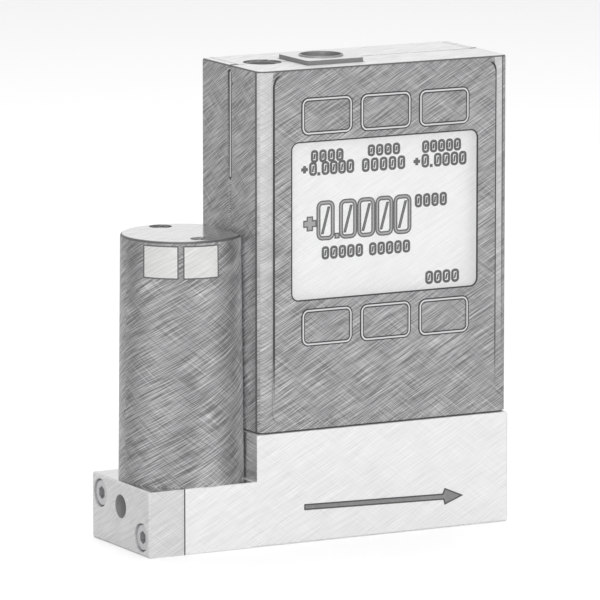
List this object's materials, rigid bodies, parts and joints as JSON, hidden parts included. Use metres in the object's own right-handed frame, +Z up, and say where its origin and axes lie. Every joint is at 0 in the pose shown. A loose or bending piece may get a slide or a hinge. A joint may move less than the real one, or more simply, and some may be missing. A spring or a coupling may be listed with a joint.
{
  "type": "pressure controller",
  "caption": "Compact electronic pressure controller: display housing on a metal flow body, with a proportional valve in a round cover beside it.",
  "frame": {"origin": "middle of the flat resting face, under the centre of the whole object", "axes": "+Z up; the display faces -Y; gas passes from the valve end at -X to the outlet at +X"},
  "size_m": [0.09, 0.028, 0.1068],
  "materials": {
    "flow_metal": "fine milled and clear anodised, satin",
    "block_metal": "fine milled and clear anodised, satin",
    "end_metal": "fine milled and clear anodised, satin",
    "screw_steel": "plated socket head screw",
    "dark_screw_steel": "black oxide screw",
    "bright_steel": "bright stainless",
    "bracket_steel": "zinc plated sheet",
    "brass_parts": "turned brass",
    "copper_wire": "enamelled copper winding",
    "seal_rubber": "black elastomer",
    "gasket_rubber": "black gasket sheet",
    "bobbin_plastic": "natural moulded plastic",
    "lead_insulation": "red wire insulation",
    "cover_finish": "dark grey satin coat, fine texture",
    "housing_finish": "dark grey satin coat, fine texture",
    "keypad_film": "printed polyester film, fine texture",
    "label_paper": "plain label stock",
    "clear_lens": "clear acrylic",
    "display_face": "pale grey liquid crystal face",
    "light_guide": "white light guide",
    "board_green": "solder mask",
    "socket_plastic": "black moulded plastic",
    "key_plastic": "grey moulded plastic"
  },
  "bodies": {
    "controller": {"board_screws": "screw_steel", "board_standoffs": "brass_parts", "coil_bobbin": "bobbin_plastic", "coil_bracket": "bracket_steel", "coil_lead_plug": "bobbin_plastic", "coil_leads": "lead_insulation", "coil_nut": "brass_parts", "coil_winding": "copper_wire", "data_connector": "socket_plastic", "data_connector_pins": "brass_parts", "data_connector_shield": "bright_steel", "display_backlight": "light_guide", "display_bezel": "bracket_steel", "display_panel": "display_face", "display_window": "clear_lens", "end_block_screws": "screw_steel", "flow_body": "flow_metal", "front_overlay": "keypad_film", "front_shell": "housing_finish", "guide_tube": "bright_steel", "guide_tube_seal": "seal_rubber", "housing_gasket": "gasket_rubber", "housing_screws": "screw_steel", "inlet_end_block": "end_metal", "inlet_screen": "bright_steel", "inlet_seal": "seal_rubber", "key_board": "board_green", "key_switches": "socket_plastic", "main_board": "board_green", "plunger_spring": "bright_steel", "pole_piece": "bright_steel", "power_jack": "socket_plastic", "power_jack_pin": "bright_steel", "pressure_sensor": "bright_steel", "rear_cover": "housing_finish", "rear_cover_screws": "dark_screw_steel", "sensor_seal": "seal_rubber", "valve_block": "block_metal", "valve_block_seal": "seal_rubber", "valve_cover": "cover_finish", "valve_cover_screws": "dark_screw_steel", "valve_labels": "label_paper", "valve_seat": "brass_parts"},
    "plunger": {"valve_plunger": "bright_steel", "plunger_seal": "seal_rubber"},
    "key_upper_left": {"key_button_upper_left": "key_plastic"},
    "key_upper_middle": {"key_button_upper_middle": "key_plastic"},
    "key_upper_right": {"key_button_upper_right": "key_plastic"},
    "key_lower_left": {"key_button_lower_left": "key_plastic"},
    "key_lower_middle": {"key_button_lower_middle": "key_plastic"},
    "key_lower_right": {"key_button_lower_right": "key_plastic"}
  },
  "joints": [
    {"name": "valve_lift", "type": "slide", "parent": "controller", "child": "plunger", "axis": [0, 0, 1], "range_m": [0, 0.0006], "stiffness_N_per_m": 800, "springref_m": -0.0015, "deforming": ["plunger_spring"]},
    {"name": "press_upper_left", "type": "slide", "parent": "controller", "child": "key_upper_left", "axis": [0, 1, 0], "range_m": [0, 0.00025], "stiffness_N_per_m": 4000, "springref_m": -0.0001},
    {"name": "press_upper_middle", "type": "slide", "parent": "controller", "child": "key_upper_middle", "axis": [0, 1, 0], "range_m": [0, 0.00025], "stiffness_N_per_m": 4000, "springref_m": -0.0001},
    {"name": "press_upper_right", "type": "slide", "parent": "controller", "child": "key_upper_right", "axis": [0, 1, 0], "range_m": [0, 0.00025], "stiffness_N_per_m": 4000, "springref_m": -0.0001},
    {"name": "press_lower_left", "type": "slide", "parent": "controller", "child": "key_lower_left", "axis": [0, 1, 0], "range_m": [0, 0.00025], "stiffness_N_per_m": 4000, "springref_m": -0.0001},
    {"name": "press_lower_middle", "type": "slide", "parent": "controller", "child": "key_lower_middle", "axis": [0, 1, 0], "range_m": [0, 0.00025], "stiffness_N_per_m": 4000, "springref_m": -0.0001},
    {"name": "press_lower_right", "type": "slide", "parent": "controller", "child": "key_lower_right", "axis": [0, 1, 0], "range_m": [0, 0.00025], "stiffness_N_per_m": 4000, "springref_m": -0.0001}
  ]
}
